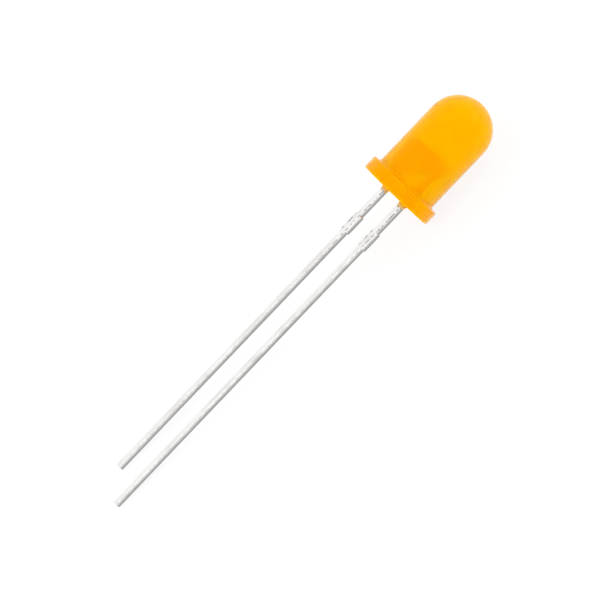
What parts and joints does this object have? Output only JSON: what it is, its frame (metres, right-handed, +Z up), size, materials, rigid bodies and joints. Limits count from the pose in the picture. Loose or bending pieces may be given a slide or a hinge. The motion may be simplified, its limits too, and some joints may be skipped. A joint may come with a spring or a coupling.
{
  "type": "through hole led",
  "caption": "Diffused orange light emitting diode: a domed epoxy lens with a keyed flange, on straight leads of unequal length.",
  "frame": {"origin": "middle of the ground that the LED covers as it lies, on the flange's rim and the tips of the leads", "axes": "+X along the leads towards the dome, +Z up, the anode lead on the -Y side"},
  "size_m": [0.0378, 0.0056, 0.006],
  "materials": {
    "orange_epoxy": "diffused orange epoxy, smooth as moulded",
    "tinned_steel": "bright tin plating with fine drawing lines",
    "crystal": "sawn semiconductor crystal",
    "silver_adhesive": "cured silver-filled adhesive",
    "gold_wire": "drawn gold wire"
  },
  "bodies": {
    "root": {"epoxy_case": "orange_epoxy", "cathode_lead": "tinned_steel", "anode_lead": "tinned_steel", "led_chip": "crystal", "die_attach": "silver_adhesive", "bond_wire": "gold_wire"}
  },
  "joints": []
}
